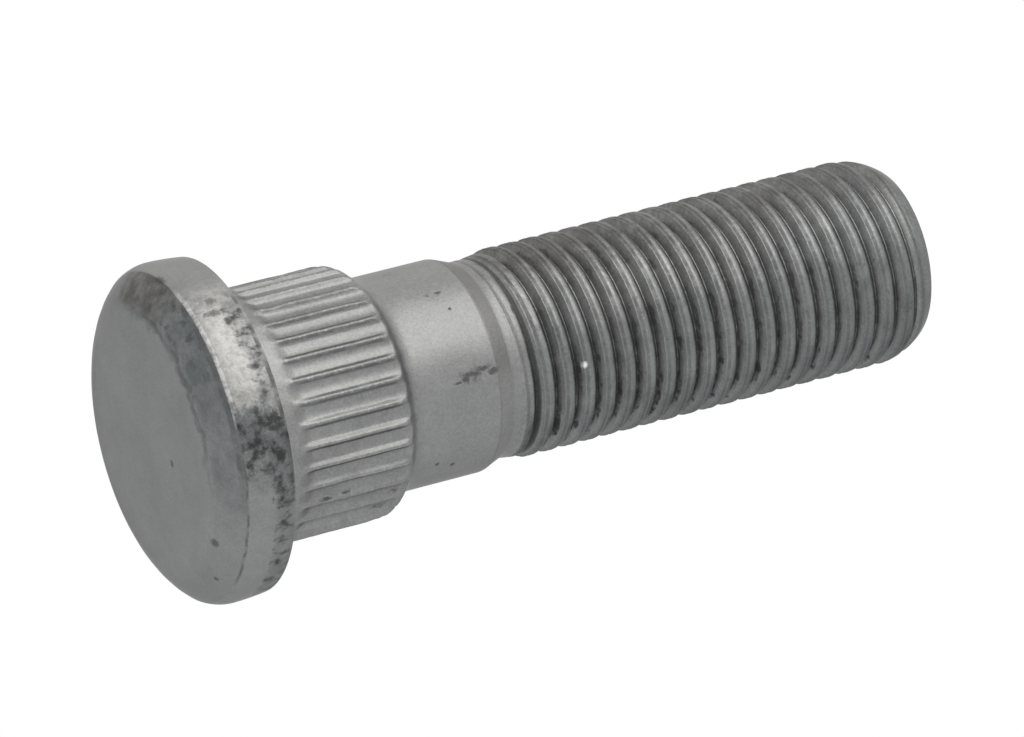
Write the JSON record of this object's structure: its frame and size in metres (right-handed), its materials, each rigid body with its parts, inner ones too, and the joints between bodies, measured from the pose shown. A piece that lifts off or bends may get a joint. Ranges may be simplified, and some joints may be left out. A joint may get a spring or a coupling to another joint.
{
  "type": "wheel stud",
  "caption": "Press-in wheel stud: round domed head, straight-knurled collar, plain shank and a fine-threaded end with a rounded tip, in one piece of plated steel.",
  "frame": {"origin": "centre of the head's flat outer face, which the stud stands on", "axes": "+Z along the stud from the head to the threaded tip, +X through the tip of one knurl ridge"},
  "size_m": [0.0226, 0.0226, 0.0549],
  "materials": {
    "plated_steel": "satin zinc-grey plating, dulled, with dark stains and worn bright edges"
  },
  "bodies": {
    "root": {"wheel_stud": "plated_steel"}
  },
  "joints": []
}
